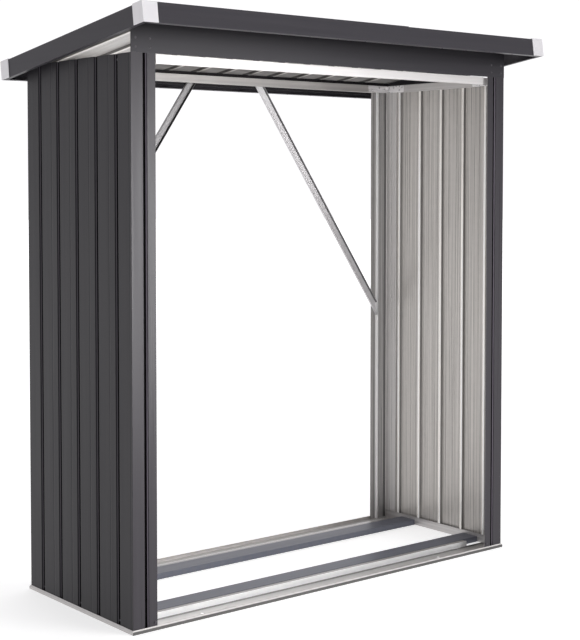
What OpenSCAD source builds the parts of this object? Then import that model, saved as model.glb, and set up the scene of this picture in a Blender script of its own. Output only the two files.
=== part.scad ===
// Open-fronted log store of thin folded steel: corrugated side walls, four corner posts,
// a low base of folded rails and a single-pitch roof that falls to the back.
// Millimetres, +Z up, front towards -Y. The origin is on the ground, under the middle
// of the whole store with its roof.

/* [Body] */
// Width of the base over its outer lips
base_w = 1350; // [900:10:2000]
// Depth of the base over its outer lips
base_d = 524; // [400:2:900]
// Height of the side walls' top edge above the ground
wall_top = 1440; // [900:10:1900]
// Distance from the base's outer edge in to the faces of the walls and posts
body_inset = 4; // [3:0.5:10]
// Thickness that all folded sheet is drawn at
sheet_t = 1; // [0.8:0.1:1.2]

/* [Corrugation] */
// Width of a groove at its mouth
groove_w = 16; // [12:0.5:20]
// Width of a groove's floor
groove_floor_w = 8; // [4:0.5:10]
// Depth of a groove below the painted face
groove_d = 8; // [4:0.5:9]
// Distance between grooves on the side walls
wall_pitch = 95; // [70:0.5:130]
// Distance between grooves on the roof
roof_pitch_w = 97; // [70:0.5:130]

/* [Corner posts] */
// Width of a post's front or back face
post_face_w = 72; // [60:1:100]
// Width of the leg behind the side wall
post_side_w = 48; // [25:1:50]
// Distance from the outer corner to the middle of the face's groove
post_groove_x = 41; // [30:1:48]
// Width of that groove at its mouth
post_groove_w = 12; // [8:0.5:14]
// Gap from a front post's top up to the roof's ribs
post_clear = 30; // [1:1:35]

/* [Base] */
// Height of the outer lip's upright part
lip_h = 7; // [5:0.5:12]
// Height where the sloped top of the lip ends, beside the wall
lip_top = 11; // [9:0.5:16]
// Distance from the outer edge in to the front rail's inner web
threshold_w = 76; // [60:1:110]
// Height of the front rail's inner web
threshold_h = 16; // [12:1:30]
// Width of the fold on top of that web
threshold_fold = 16; // [10:1:24]
// Distance from the outer edge at which that web starts and ends
threshold_end = 80; // [80:1:110]
// Height of the side rail's upstand inside the wall
upstand_h = 26; // [18:1:40]
// Width of a log rest
rest_w = 61; // [40:1:90]
// Height of a log rest above the ground
rest_h = 17; // [12:1:30]
// Gap from the threshold's fold to the log rest
rest_gap = 0.5; // [0.5:0.5:10]
// Radius of an anchor hole
anchor_r = 5; // [4:0.5:6]
// Distance of an anchor hole from the base's end
anchor_x = 240; // [120:5:300]
// Distance of an anchor hole from the base's front or back edge
anchor_y = 40; // [30:1:50]

/* [Top frame] */
// Height of a top rail
rail_h = 23; // [19:1:40]
// Depth of a top rail
rail_d = 15; // [8:1:20]
// Distance of a rail's end from the body's outer face
rail_end = 80; // [75:1:95]
// Length of a corner bracket's leg
bracket_leg = 82; // [76:1:110]
// Height of a corner bracket
bracket_h = 22; // [12:1:23]
// Thickness of a corner bracket
bracket_t = 1.5; // [1:0.1:3]
// Distance of a corner bracket's top edge below the rail's top
bracket_drop = 0.5; // [0:0.5:6]
// Distance of the back header's lower edge below the rail's top
header_drop = 30; // [10:1:60]

/* [Back braces] */
// Distance of a brace's top from the middle of the store
brace_top_x = 130; // [80:5:220]
// Fall of a brace for each unit of run
brace_slope = 1.45; // [1.1:0.05:1.7]
// Width of a brace
brace_w = 25; // [18:1:40]
// Gap between a brace's end and the groove in the back post
brace_end_gap = 3; // [2:0.5:6]

/* [Roof] */
// Angle at which the roof falls to the back
roof_angle = 7.9; // [4:0.1:12]
// Overhang of the roof past the base in front
front_overhang = 117; // [60:1:180]
// Overhang of the roof past the base at the back
back_overhang = 64; // [40:1:120]
// Overhang of the roof past the base at each side
side_overhang = 38; // [30:1:80]
// Height of the roof's corrugation above the side wall's back corner
roof_gap = 12; // [4:1:40]
// Height of the roof trim
trim_h = 50; // [40:1:70]
// Width of the trim's flange on top of the roof sheet
trim_top_w = 25; // [15:1:35]
// Width of the trim's fold along its lower edge
trim_foot_w = 12; // [6:1:20]
// Thickness of a corner cap
cap_t = 2; // [1.5:0.1:4]
// Length of a corner cap along the front or back
cap_front = 44; // [35:1:70]
// Length of a corner cap along the side
cap_side = 43; // [30:1:70]

/* [Hidden] */

paint_dark = "#4a474d";
paint_wall = "#403c42";
galvanised = "#b9b6b4";
rest_paint = "#5f616b";
cap_white = "#ecebee";

seat = 0.3;                 // running gap where a piece only rests near another
over = 1;                   // how far a cutter runs past what it cuts
hole_sides = 48;            // sides of a round hole

roof_fall = tan(roof_angle);
roof_run = front_overhang + base_d + back_overhang;  // level distance along the roof's lower edge
roof_w = base_w + 2 * side_overhang;
roof_l = roof_run / cos(roof_angle);
cap_h = trim_h + cap_t;
roof_front_y = -(roof_run + cap_h * sin(roof_angle)) / 2;

base_front_y = roof_front_y + front_overhang;
base_mid_y = base_front_y + base_d / 2;
body_front_y = base_front_y + body_inset;
body_half_w = base_w / 2 - body_inset;
body_d = base_d - 2 * body_inset;
body_back_y = body_front_y + body_d;

crest_d = groove_d + sheet_t;                       // wall face to the inner crest of a rib
upstand_x = body_inset + crest_d;                   // outer edge to the side rail's upstand
floor_end = upstand_x + sheet_t;                    // outer edge to the end of the side rail
rail_z = wall_top - rail_h;

sheet_z = trim_h - 2 * sheet_t;                     // underside of the roof sheet in the roof frame
crest_z = sheet_z - groove_d;                       // underside of its ribs in the roof frame
trim_inset = cap_t;                                 // roof's outer edge to the trim's face
eave_z = wall_top + roof_gap + (front_overhang + base_d - body_inset) * roof_fall
    - crest_z / cos(roof_angle);                    // lower front edge of the roof trim
roof_half_ribs = floor((roof_w / 2 - trim_top_w - groove_w) / roof_pitch_w);
seam_x = 1.5 * roof_pitch_w;                        // where the roof sheets and front trims meet
sheet_edge = trim_inset + sheet_t + seat;           // roof's outer edge to the sheet's edge
front_post_top = crest_height(body_front_y + crest_d) - post_clear;

// Height of the ribs' underside above the ground at a distance y from the front of the roof
function crest_height(y) = eave_z - (y - roof_front_y) * roof_fall + crest_z / cos(roof_angle);

// Left-hand unit normal of the stretch from a to b
function normal(a, b) = [a.y - b.y, b.x - a.x] / norm(b - a);

// A path's point moved sideways by t, so that both neighbouring stretches move by t
function moved(path, i, t) =
    let (
        last = len(path) - 1,
        before = normal(path[max(i - 1, 0)], path[max(i, 1)]),
        after = normal(path[min(i, last - 1)], path[min(i + 1, last)])
    )
    path[i] + t * (before + after) / (1 + before * after);

// Outline of a sheet of thickness t folded along a path, with the path as its right-hand face
function folded(path, t = sheet_t) =
    concat(path, [for (i = [len(path) - 1:-1:0]) moved(path, i, t)]);

// One groove of the corrugation, centred on x, with the given width at its mouth
function groove(x, mouth) =
    let (floor_w = mouth * groove_floor_w / groove_w)
    [
        [x - mouth / 2, 0],
        [x - floor_w / 2, groove_d],
        [x + floor_w / 2, groove_d],
        [x + mouth / 2, 0]
    ];

// Painted face of a corrugated sheet from a to b, with grooves centred on the given places
function corrugated(a, b, places, mouth = groove_w) =
    concat([[a, 0]], [for (x = places) each groove(x, mouth)], [[b, 0]]);

// A drawing in y and z, drawn out along x
module along_x(length) {
    rotate([90, 0, 90])
        linear_extrude(length)
            children();
}

// A drawing in x and z, drawn out along y
module along_y(length) {
    translate([0, length, 0])
        rotate([90, 0, 0])
            linear_extrude(length)
                children();
}

// The same piece at the other side of the store
module other_side() {
    mirror([1, 0, 0])
        children();
}

// The same piece at the other end of the base's depth
module other_end() {
    translate([0, 2 * base_mid_y, 0])
        mirror([0, 1, 0])
            children();
}

// From the roof's own frame, with its origin under the middle of its lower front edge
module on_roof() {
    translate([0, roof_front_y, eave_z])
        rotate([-roof_angle, 0, 0])
            children();
}

// ---- Base ----

// Outer lip and floor of a base rail, out to the given width
module lip_and_floor_2d(width) {
    polygon(folded([[body_inset - sheet_t, lip_top], [0, lip_h], [0, 0], [width, 0]]));
}

// Plan of the corner that a side rail fills, cut off the end of the front or back rail
module side_rail_corner_2d() {
    polygon([[-over, -over], [floor_end, floor_end], [floor_end, base_d], [-over, base_d]]);
}

module base_rail_across() {
    translate([-base_w / 2, base_front_y, 0])
        difference() {
            union() {
                along_x(base_w)
                    lip_and_floor_2d(threshold_w);
                translate([threshold_end, 0, 0])
                    along_x(base_w - 2 * threshold_end)
                        polygon(folded([
                            [threshold_w - sheet_t, 0],
                            [threshold_w, 0],
                            [threshold_w, threshold_h - sheet_t],
                            [threshold_w + threshold_fold, threshold_h - sheet_t]
                        ]));
            }
            translate([0, 0, -over])
                linear_extrude(threshold_h + 2 * over)
                    side_rail_corner_2d();
            translate([base_w, 0, -over])
                mirror([1, 0, 0])
                    linear_extrude(threshold_h + 2 * over)
                        side_rail_corner_2d();
            for (x = [anchor_x, base_w - anchor_x])
                translate([x, anchor_y, -over])
                    cylinder(h = sheet_t + 2 * over, r = anchor_r, $fn = hole_sides);
        }
}

module base_rail_front() {
    color(galvanised)
        base_rail_across();
}

module base_rail_back() {
    color(galvanised)
        other_end()
            base_rail_across();
}

module base_rail_side() {
    translate([-base_w / 2, base_front_y, 0])
        difference() {
            union() {
                along_y(base_d)
                    lip_and_floor_2d(floor_end);
                translate([0, floor_end, 0])
                    along_y(base_d - 2 * floor_end)
                        translate([upstand_x, 0])
                            square([sheet_t, upstand_h]);
            }
            for (y = [0, base_d])
                translate([0, y, -over])
                    mirror([0, y > 0 ? 1 : 0, 0])
                        linear_extrude(upstand_h)
                            polygon([[-over, -over], [floor_end, floor_end], [floor_end + over, -over]]);
        }
}

module base_rail_left() {
    color(galvanised)
        base_rail_side();
}

module base_rail_right() {
    color(galvanised)
        other_side()
            base_rail_side();
}

// Inverted shallow channel on the ground, between the side rails
module log_rest() {
    rest_y = base_front_y + threshold_w + threshold_fold + rest_gap;
    rest_half = base_w / 2 - floor_end - seat;
    translate([-rest_half, rest_y, 0])
        along_x(2 * rest_half)
            polygon(folded([[rest_w, 0], [rest_w, rest_h], [0, rest_h], [0, 0]]));
}

module log_rest_front() {
    color(rest_paint)
        log_rest();
}

module log_rest_back() {
    color(rest_paint)
        other_end()
            log_rest();
}

// ---- Corner posts ----

// Front left post: a grooved face, and a plain leg behind the side wall's edge
module post(top) {
    translate([-body_half_w, body_front_y, sheet_t]) {
        linear_extrude(top - sheet_t)
            polygon(folded(corrugated(0, post_face_w, [post_groove_x], post_groove_w)));
        translate([sheet_t, 0, 0])
            cube([sheet_t, post_side_w, wall_top - sheet_t]);
    }
}

module post_front_left() {
    color(paint_dark)
        post(front_post_top);
}

module post_front_right() {
    color(paint_dark)
        other_side()
            post(front_post_top);
}

module post_back_left() {
    color(paint_dark)
        other_end()
            post(wall_top);
}

module post_back_right() {
    color(paint_dark)
        other_side()
            other_end()
                post(wall_top);
}

// ---- Side walls ----

module side_wall() {
    wall_gaps = floor((body_d - 2 * (post_side_w + groove_w / 2 + over)) / wall_pitch);
    first = (body_d - wall_gaps * wall_pitch) / 2;
    places = [for (i = [0:wall_gaps]) first + i * wall_pitch];
    translate([-body_half_w, body_front_y, sheet_t])
        linear_extrude(wall_top - sheet_t)
            mirror([1, 0])
                rotate(90)
                    polygon(folded(corrugated(sheet_t, body_d - sheet_t, places)));
}

module side_wall_left() {
    color(paint_wall)
        side_wall();
}

module side_wall_right() {
    color(paint_wall)
        other_side()
            side_wall();
}

// ---- Top frame ----

// Section through a rolled tube
module tube_2d() {
    difference() {
        square([rail_d, rail_h]);
        translate([sheet_t, sheet_t])
            square([rail_d - 2 * sheet_t, rail_h - 2 * sheet_t]);
    }
}

module top_rail_across() {
    translate([rail_end - body_half_w, body_front_y + crest_d, rail_z])
        along_x(2 * (body_half_w - rail_end))
            tube_2d();
}

module top_rail_front() {
    color(galvanised)
        top_rail_across();
}

module top_rail_back() {
    color(galvanised)
        other_end()
            top_rail_across();
}

module top_rail_side() {
    translate([crest_d - body_half_w, body_front_y + rail_end, rail_z])
        along_y(body_d - 2 * rail_end)
            tube_2d();
}

module top_rail_left() {
    color(galvanised)
        top_rail_side();
}

module top_rail_right() {
    color(galvanised)
        other_side()
            top_rail_side();
}

// Angle that joins two top rails round the inside of a corner
module corner_bracket() {
    inner = crest_d + rail_d;
    translate([inner - body_half_w, body_front_y + inner, wall_top - bracket_drop - bracket_h])
        linear_extrude(bracket_h)
            difference() {
                square(bracket_leg);
                translate([bracket_t, bracket_t])
                    square(bracket_leg);
            }
}

module bracket_front_left() {
    color(galvanised)
        corner_bracket();
}

module bracket_front_right() {
    color(galvanised)
        other_side()
            corner_bracket();
}

module bracket_back_left() {
    color(galvanised)
        other_end()
            corner_bracket();
}

module bracket_back_right() {
    color(galvanised)
        other_side()
            other_end()
                corner_bracket();
}

// ---- Headers ----

// Upright panel outside two posts, from the given height up to the roof's ribs
module header(face_y, roof_y, bottom) {
    translate([-body_half_w, face_y, bottom])
        cube([2 * body_half_w, sheet_t, crest_height(roof_y) - seat - bottom]);
}

module header_front() {
    color(paint_dark)
        header(body_front_y - sheet_t, body_front_y, wall_top);
}

module header_back() {
    color(paint_dark)
        header(body_back_y, body_back_y + sheet_t, wall_top - header_drop);
}

// ---- Back braces ----

// Slanting strip seen from the front, between two distances from the brace's middle line,
// cut level behind the back rail and upright beside the post's groove
module brace_2d(low, high) {
    end_x = body_half_w - post_groove_x - post_groove_w / 2 - brace_end_gap;
    fall = (end_x - brace_top_x) * brace_slope + brace_w * 2;
    intersection() {
        translate([brace_top_x, rail_z])
            rotate(-atan(brace_slope))
                translate([-base_w, low])
                    square([2 * (base_w + wall_top), high - low]);
        translate([0, rail_z - fall])
            square([end_x, fall + rail_h - sheet_t]);
    }
}

// Shallow channel between the back rail and the inner face of a back post
module back_brace() {
    brace_d = crest_d - sheet_t;
    translate([0, body_back_y - sheet_t - brace_d, 0]) {
        translate([0, brace_d - sheet_t, 0])
            along_y(sheet_t)
                brace_2d(-brace_w / 2, brace_w / 2);
        along_y(brace_d)
            brace_2d(brace_w / 2 - sheet_t, brace_w / 2);
        along_y(brace_d)
            brace_2d(-brace_w / 2, sheet_t - brace_w / 2);
    }
}

module brace_right() {
    color(galvanised)
        back_brace();
}

module brace_left() {
    color(galvanised)
        other_side()
            back_brace();
}

// ---- Roof, drawn in its own frame ----

// Corrugated sheet from x = a to x = b, painted side up, with its ribs running to the back
module roof_sheet(a, b) {
    ribs = [for (i = [-roof_half_ribs:roof_half_ribs]) i * roof_pitch_w];
    places = [for (x = ribs) if (x > a && x < b) x];
    on_roof()
        translate([0, sheet_edge, sheet_z + sheet_t])
            along_y(roof_l - 2 * sheet_edge)
                mirror([0, 1])
                    polygon(folded(corrugated(a, b, places)));
}

module roof_sheet_left() {
    color(paint_dark)
        roof_sheet(sheet_edge - roof_w / 2, seam_x);
}

module roof_sheet_right() {
    color(paint_dark)
        roof_sheet(seam_x, roof_w / 2 - sheet_edge);
}

// Section through a trim: a face with a flange on top and a narrow fold below
module trim_2d() {
    difference() {
        square([trim_top_w, trim_h]);
        translate([sheet_t, sheet_t])
            square([trim_top_w, trim_h - 2 * sheet_t]);
        translate([trim_foot_w, -over])
            square([trim_top_w, 2 * over + sheet_t]);
    }
}

// Plan of a trim that is mitred at its start, from 0 to the given length along x
module mitred_2d(length) {
    polygon([[0, 0], [length, 0], [length, trim_top_w], [trim_top_w, trim_top_w]]);
}

// Left length of the front trim, from the corner to x = end
module trim_across(end) {
    length = end + roof_w / 2 - trim_inset;
    translate([trim_inset - roof_w / 2, trim_inset, 0])
        intersection() {
            along_x(length)
                trim_2d();
            linear_extrude(trim_h)
                mitred_2d(length);
        }
}

// Moves a piece of the front trim to the back edge
module at_back_edge() {
    translate([0, roof_l, 0])
        mirror([0, 1, 0])
            children();
}

module trim_front_left() {
    color(paint_dark)
        on_roof()
            trim_across(seam_x);
}

module trim_front_right() {
    color(paint_dark)
        on_roof()
            other_side()
                trim_across(-seam_x);
}

module trim_back_left() {
    color(paint_dark)
        on_roof()
            at_back_edge()
                trim_across(seam_x);
}

module trim_back_right() {
    color(paint_dark)
        on_roof()
            at_back_edge()
                other_side()
                    trim_across(-seam_x);
}

module trim_side() {
    length = roof_l - 2 * trim_inset;
    plan = [
        [0, 0],
        [trim_top_w, trim_top_w],
        [trim_top_w, length - trim_top_w],
        [0, length]
    ];
    on_roof()
        translate([trim_inset - roof_w / 2, trim_inset, 0])
            intersection() {
                along_y(length)
                    trim_2d();
                linear_extrude(trim_h)
                    polygon(plan);
            }
}

module trim_side_left() {
    color(paint_dark)
        trim_side();
}

module trim_side_right() {
    color(paint_dark)
        other_side()
            trim_side();
}

// Cap over a roof corner: two walls outside the trims, and a top
module corner_cap() {
    translate([-roof_w / 2, 0, 0])
        difference() {
            cube([cap_front, cap_side, cap_h]);
            translate([cap_t, cap_t, -over])
                cube([cap_front, cap_side, trim_h + over]);
        }
}

module cap_front_left() {
    color(cap_white)
        on_roof()
            corner_cap();
}

module cap_front_right() {
    color(cap_white)
        on_roof()
            other_side()
                corner_cap();
}

module cap_back_left() {
    color(cap_white)
        on_roof()
            at_back_edge()
                corner_cap();
}

module cap_back_right() {
    color(cap_white)
        on_roof()
            at_back_edge()
                other_side()
                    corner_cap();
}

base_rail_front();
base_rail_back();
base_rail_left();
base_rail_right();
log_rest_front();
log_rest_back();
post_front_left();
post_front_right();
post_back_left();
post_back_right();
side_wall_left();
side_wall_right();
top_rail_front();
top_rail_back();
top_rail_left();
top_rail_right();
bracket_front_left();
bracket_front_right();
bracket_back_left();
bracket_back_right();
header_front();
header_back();
brace_left();
brace_right();
roof_sheet_left();
roof_sheet_right();
trim_front_left();
trim_front_right();
trim_back_left();
trim_back_right();
trim_side_left();
trim_side_right();
cap_front_left();
cap_front_right();
cap_back_left();
cap_back_right();
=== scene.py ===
"""Log store in folded coated steel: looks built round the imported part. Metres, +Z up, front towards -Y."""

import math

import bmesh
import bpy
from mathutils import Matrix, Vector


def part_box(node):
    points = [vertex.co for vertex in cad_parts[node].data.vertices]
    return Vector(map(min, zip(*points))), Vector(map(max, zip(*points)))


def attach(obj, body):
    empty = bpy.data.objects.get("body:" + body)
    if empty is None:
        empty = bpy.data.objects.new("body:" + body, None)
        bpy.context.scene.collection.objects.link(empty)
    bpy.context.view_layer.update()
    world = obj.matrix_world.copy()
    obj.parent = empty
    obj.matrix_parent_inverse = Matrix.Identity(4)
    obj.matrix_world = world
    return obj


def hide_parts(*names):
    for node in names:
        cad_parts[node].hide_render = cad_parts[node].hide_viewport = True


bl_info = {
    "name": "Log Store",
    "version": (1, 0, 0),
    "blender": (4, 5, 0),
    "location": "3D View > Sidebar > Log store",
    "description": "Builds the sheet pieces, finishes and fasteners of an open-fronted steel log store",
    "category": "Object",
}

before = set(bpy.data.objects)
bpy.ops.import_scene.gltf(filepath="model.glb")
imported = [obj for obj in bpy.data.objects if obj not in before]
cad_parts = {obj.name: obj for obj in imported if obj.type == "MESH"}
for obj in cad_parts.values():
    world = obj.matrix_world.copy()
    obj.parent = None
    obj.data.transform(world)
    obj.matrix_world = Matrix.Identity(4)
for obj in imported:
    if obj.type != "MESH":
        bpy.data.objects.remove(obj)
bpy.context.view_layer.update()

MM = 0.001
PAINT_SPECULAR = 0.25                # a satin paint's reflection, weaker than a bare gloss
SPANGLE_MM = 14                      # width of a zinc crystal
SHEET = 1.0 * MM                     # drawn thickness of all folded sheet
BODY = "root"

# The store's main lines, taken from the frame's own pieces
BASE_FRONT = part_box("base_rail_front")[0].y
RAIL_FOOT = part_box("top_rail_front")[0].z
WALL_LOW, WALL_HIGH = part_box("side_wall_left")
CAP_LOW, CAP_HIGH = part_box("cap_front_left")
BODY_X = -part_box("post_front_left")[0].x          # half the width over the walls
BODY_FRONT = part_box("post_front_left")[0].y
BODY_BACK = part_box("post_back_left")[1].y
WALL_TOP = WALL_HIGH.z
WALL_GROOVE_COUNT = 5

ROOF_ANGLE = math.radians(7.9)
ROOF_X = -CAP_LOW.x                  # half the width over the corner caps
CAP_RISE = 52 * MM                   # height of a corner cap, square to the roof
TRIM_RISE = 50 * MM
TRIM_INSET = 2 * MM                  # the caps' walls stand this far outside the trims
ROOF_FRAME = (
    Matrix.Translation((0, CAP_LOW.y, CAP_HIGH.z - CAP_RISE * math.cos(ROOF_ANGLE)))
    @ Matrix.Rotation(-ROOF_ANGLE, 4, "X")
)
ROOF_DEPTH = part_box("cap_back_left")[1].y - CAP_LOW.y - CAP_RISE * math.sin(ROOF_ANGLE)
ROOF_RUN = ROOF_DEPTH / math.cos(ROOF_ANGLE)      # the roof's length along its slope
ROOF_RIBS_EACH_WAY = 6                            # grooves to the left and right of the middle one
MIRROR_X = Matrix.Scale(-1, 4, (1, 0, 0))


# ---------------------------------------------------------------- sizes and colours


class LogStoreSizes(bpy.types.PropertyGroup):
    """Sizes of the folds, ribs and fasteners."""

    fold_radius: bpy.props.FloatProperty(
        name="Fold radius", description="Outer radius of a bend in the sheet",
        default=1.6 * MM, unit="LENGTH", precision=4)
    groove_mouth: bpy.props.FloatProperty(
        name="Groove mouth", description="Width of a groove where it opens",
        default=16 * MM, unit="LENGTH", precision=4)
    groove_floor: bpy.props.FloatProperty(
        name="Groove floor", description="Width of a groove's flat bottom",
        default=8 * MM, unit="LENGTH", precision=4)
    groove_depth: bpy.props.FloatProperty(
        name="Groove depth", description="Depth of a groove below the painted face",
        default=8 * MM, unit="LENGTH", precision=4)
    wall_pitch: bpy.props.FloatProperty(
        name="Wall pitch", description="Distance between the grooves of a side wall",
        default=95 * MM, unit="LENGTH", precision=4)
    roof_pitch: bpy.props.FloatProperty(
        name="Roof pitch", description="Distance between the grooves of the roof",
        default=97 * MM, unit="LENGTH", precision=4)
    screw_head: bpy.props.FloatProperty(
        name="Screw head", description="Radius of a screw's head",
        default=3 * MM, unit="LENGTH", precision=4)
    rivet_head: bpy.props.FloatProperty(
        name="Rivet head", description="Radius of a rivet's head",
        default=2.4 * MM, unit="LENGTH", precision=4)


class LogStoreColours(bpy.types.PropertyGroup):
    """Main colours, as sRGB hex values."""

    wall: bpy.props.StringProperty(
        name="Walls", description="Paint outside the side walls", default="272529")
    posts: bpy.props.StringProperty(
        name="Posts", description="Paint of the corner posts", default="3a373c")
    trim: bpy.props.StringProperty(
        name="Trims", description="Paint of the headers, roof and roof trims", default="363439")
    caps: bpy.props.StringProperty(
        name="Corner caps", description="Moulded roof corner caps", default="d7d5d8")
    rests: bpy.props.StringProperty(
        name="Log rests", description="Paint of the log rests", default="5f616b")


# ---------------------------------------------------------------- materials


def linear(hexcode, factor=1.0):
    """An sRGB hex colour as linear RGBA, made lighter or darker by factor."""
    out = []
    for i in (0, 2, 4):
        c = int(hexcode[i:i + 2], 16) / 255
        c = c / 12.92 if c <= 0.04045 else ((c + 0.055) / 1.055) ** 2.4
        out.append(min(c * factor, 1.0))
    return (*out, 1.0)


MATH, VECTOR_MATH, MAP_RANGE = "ShaderNodeMath", "ShaderNodeVectorMath", "ShaderNodeMapRange"
PLUS, MINUS = {"operation": "ADD"}, {"operation": "SUBTRACT"}
TIMES, TIMES_PLUS = {"operation": "MULTIPLY"}, {"operation": "MULTIPLY_ADD"}
NOISE_SPAN = (0.3, 0.7)              # most of a noise's values lie in here


def add(tree, kind, settings=None, *values, **inputs):
    """Adds a node. Settings are its properties. Values fill its sockets in order, and inputs go by the
    socket's name, or by its number written as _6. Each is a plain value or another node's socket."""
    node = tree.nodes.new(kind)
    for key, value in (settings or {}).items():
        setattr(node, key, value)
    filled = list(zip(node.inputs, values))
    for key, value in inputs.items():
        name = int(key[1:]) if key[1:].isdigit() else key.replace("_", " ")
        filled.append((node.inputs[name], value))
    for socket, value in filled:
        if isinstance(value, bpy.types.NodeSocket):
            tree.links.new(value, socket)
        else:
            socket.default_value = value
    return node


def new_material(name, **shader):
    """An empty material with a Principled shader, whose sockets are set directly."""
    mat = bpy.data.materials.new(name)
    mat.use_nodes = True
    tree = mat.node_tree
    tree.nodes.clear()
    bsdf = add(tree, "ShaderNodeBsdfPrincipled", None, **shader)
    out = add(tree, "ShaderNodeOutputMaterial")
    tree.links.new(bsdf.outputs["BSDF"], out.inputs["Surface"])
    return mat, tree, bsdf


def noise(tree, coords, size_mm, stretch=(1, 1, 1), detail=3.0):
    """Noise with features of about size_mm, drawn out along an axis by a small stretch factor."""
    scale = 1000 / size_mm
    mapped = add(tree, "ShaderNodeMapping", None, Vector=coords, Scale=tuple(s * scale for s in stretch))
    field = add(tree, "ShaderNodeTexNoise", None, Vector=mapped.outputs[0], Scale=1.0, Detail=detail)
    return field.outputs[0]


def mottled(tree, coords, size_mm, first, second, stretch=(1, 1, 1)):
    """A colour that wanders between two over patches of about size_mm."""
    patches = noise(tree, coords, size_mm, stretch)
    tone = add(tree, MAP_RANGE, None, patches, *NOISE_SPAN, 0.0, 1.0).outputs[0]
    return add(tree, "ShaderNodeMix", {"data_type": "RGBA"}, tone, _6=first, _7=second).outputs[2]


def depth_levels(tree, coords, plane, stops):
    """Grey levels by depth in mm behind a plane and its mirror image. The plane is (normal, middle, half):
    its middle's place along the normal, and half the distance between the two faces. Stops are
    (depth, level)."""
    normal, middle, half = plane
    along = add(tree, VECTOR_MATH, {"operation": "DOT_PRODUCT"}, coords, normal).outputs["Value"]
    away = add(tree, MATH, MINUS, along, middle).outputs[0]
    away = add(tree, MATH, {"operation": "ABSOLUTE"}, away).outputs[0]
    span, top = stops[-1][0], max(level for depth, level in stops)
    place = add(tree, MAP_RANGE, None, away, half, half - span * MM, 0.0, 1.0).outputs[0]
    ramp = add(tree, "ShaderNodeValToRGB", None, Fac=place)
    elements = ramp.color_ramp.elements
    for i, (depth, level) in enumerate(stops):
        element = elements[i] if i < 2 else elements.new(1.0)
        element.position = depth / span
        element.color = (level / top, level / top, level / top, 1.0)
    return add(tree, MATH, TIMES, ramp.outputs[0], top).outputs[0]


def shaded(tree, colour, levels):
    """A colour socket multiplied by a grey level, never above full reflection."""
    bright = add(tree, VECTOR_MATH, {"operation": "SCALE"}, colour, Scale=levels).outputs[0]
    return add(tree, VECTOR_MATH, {"operation": "MINIMUM"}, bright, (1, 1, 1)).outputs[0]


def coated_steel(name, hexcode, along=(1, 1, 0.015), rough=0.42, painted_shade_and_highlight=None):
    """Coil-coated, roll-formed steel: an even satin paint whose flats waver a little, so that
    highlights wander along the sheet, with faint rolling streaks. Given levels paint shade and highlights by
    depth behind a plane, as in the grooves."""
    mat, tree, bsdf = new_material(name, Metallic=0.0, IOR=1.5)
    bsdf.inputs["Specular IOR Level"].default_value = PAINT_SPECULAR
    coords = add(tree, "ShaderNodeTexCoord").outputs["Object"]
    colour = mottled(tree, coords, 160, linear(hexcode, 0.92), linear(hexcode, 1.08), along)
    streaks = noise(tree, coords, 11, along)
    colour = shaded(tree, colour, add(tree, MAP_RANGE, None, streaks, *NOISE_SPAN, 0.95, 1.05).outputs[0])
    # Painted shade and painted highlights by depth, which also dim the paint's reflection where the shade is
    # painted
    if painted_shade_and_highlight:
        levels = depth_levels(tree, coords, *painted_shade_and_highlight)
        colour = shaded(tree, colour, levels)
        level = add(tree, MATH, {"operation": "MINIMUM"}, levels, 1.0).outputs[0]
        tint = add(tree, "ShaderNodeCombineColor", None, Red=level, Green=level, Blue=level).outputs[0]
        tree.links.new(tint, bsdf.inputs["Specular Tint"])
    tree.links.new(colour, bsdf.inputs["Base Color"])
    satin = add(tree, MAP_RANGE, None, streaks, *NOISE_SPAN, rough - 0.05, rough + 0.05)
    tree.links.new(satin.outputs[0], bsdf.inputs["Roughness"])
    wander = add(tree, "ShaderNodeBump", None, Strength=0.3, Distance=1.0 * MM,
                 Height=noise(tree, coords, 110, along, 1.0))
    # Orange peel of the baked paint, drawn at 5 mm because the real 1 mm is too fine to show
    peel = add(tree, "ShaderNodeBump", None, Strength=0.05, Distance=0.1 * MM,
               Height=noise(tree, coords, 5), Normal=wander.outputs[0])
    tree.links.new(peel.outputs[0], bsdf.inputs["Normal"])
    return mat


def galvanised_steel(name, hexcode, along, rough, metallic, bands=(), contrast=0.12, streak_mm=9):
    """Hot-dip galvanised sheet: a bright zinc face with faint spangle and rolling streaks
    that smear its highlights along the sheet. Bands are (plane, stops) for depth_levels: painted shade and
    painted highlights by depth."""
    mat, tree, bsdf = new_material(name, Metallic=metallic)
    coords = add(tree, "ShaderNodeTexCoord").outputs["Object"]
    spangle = add(tree, "ShaderNodeTexVoronoi", {"feature": "F1"}, Vector=coords, Scale=1000 / SPANGLE_MM)
    streaks = noise(tree, coords, streak_mm, along)
    rolled = add(tree, MAP_RANGE, None, streaks, *NOISE_SPAN, 0.0, 0.92).outputs[0]
    tone = add(tree, MATH, TIMES_PLUS, spangle.outputs["Color"], 0.08, rolled).outputs[0]
    dull, bright = linear(hexcode, 1 - contrast), linear(hexcode, 1 + contrast)
    colour = add(tree, "ShaderNodeMix", {"data_type": "RGBA"}, tone, _6=dull, _7=bright).outputs[2]
    # Painted shade and painted highlights by depth behind each plane
    for plane, stops in bands:
        colour = shaded(tree, colour, depth_levels(tree, coords, plane, stops))
    tree.links.new(colour, bsdf.inputs["Base Color"])
    smear = add(tree, MAP_RANGE, None, streaks, *NOISE_SPAN, rough - 0.06, rough + 0.06)
    tree.links.new(smear.outputs[0], bsdf.inputs["Roughness"])
    wander = add(tree, "ShaderNodeBump", None, Strength=0.06, Distance=0.4 * MM,
                 Height=noise(tree, coords, 60, along, 1.0))
    fine = add(tree, "ShaderNodeBump", None, Strength=0.04, Distance=0.1 * MM,
               Height=streaks, Normal=wander.outputs[0])
    tree.links.new(fine.outputs[0], bsdf.inputs["Normal"])
    return mat


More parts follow.
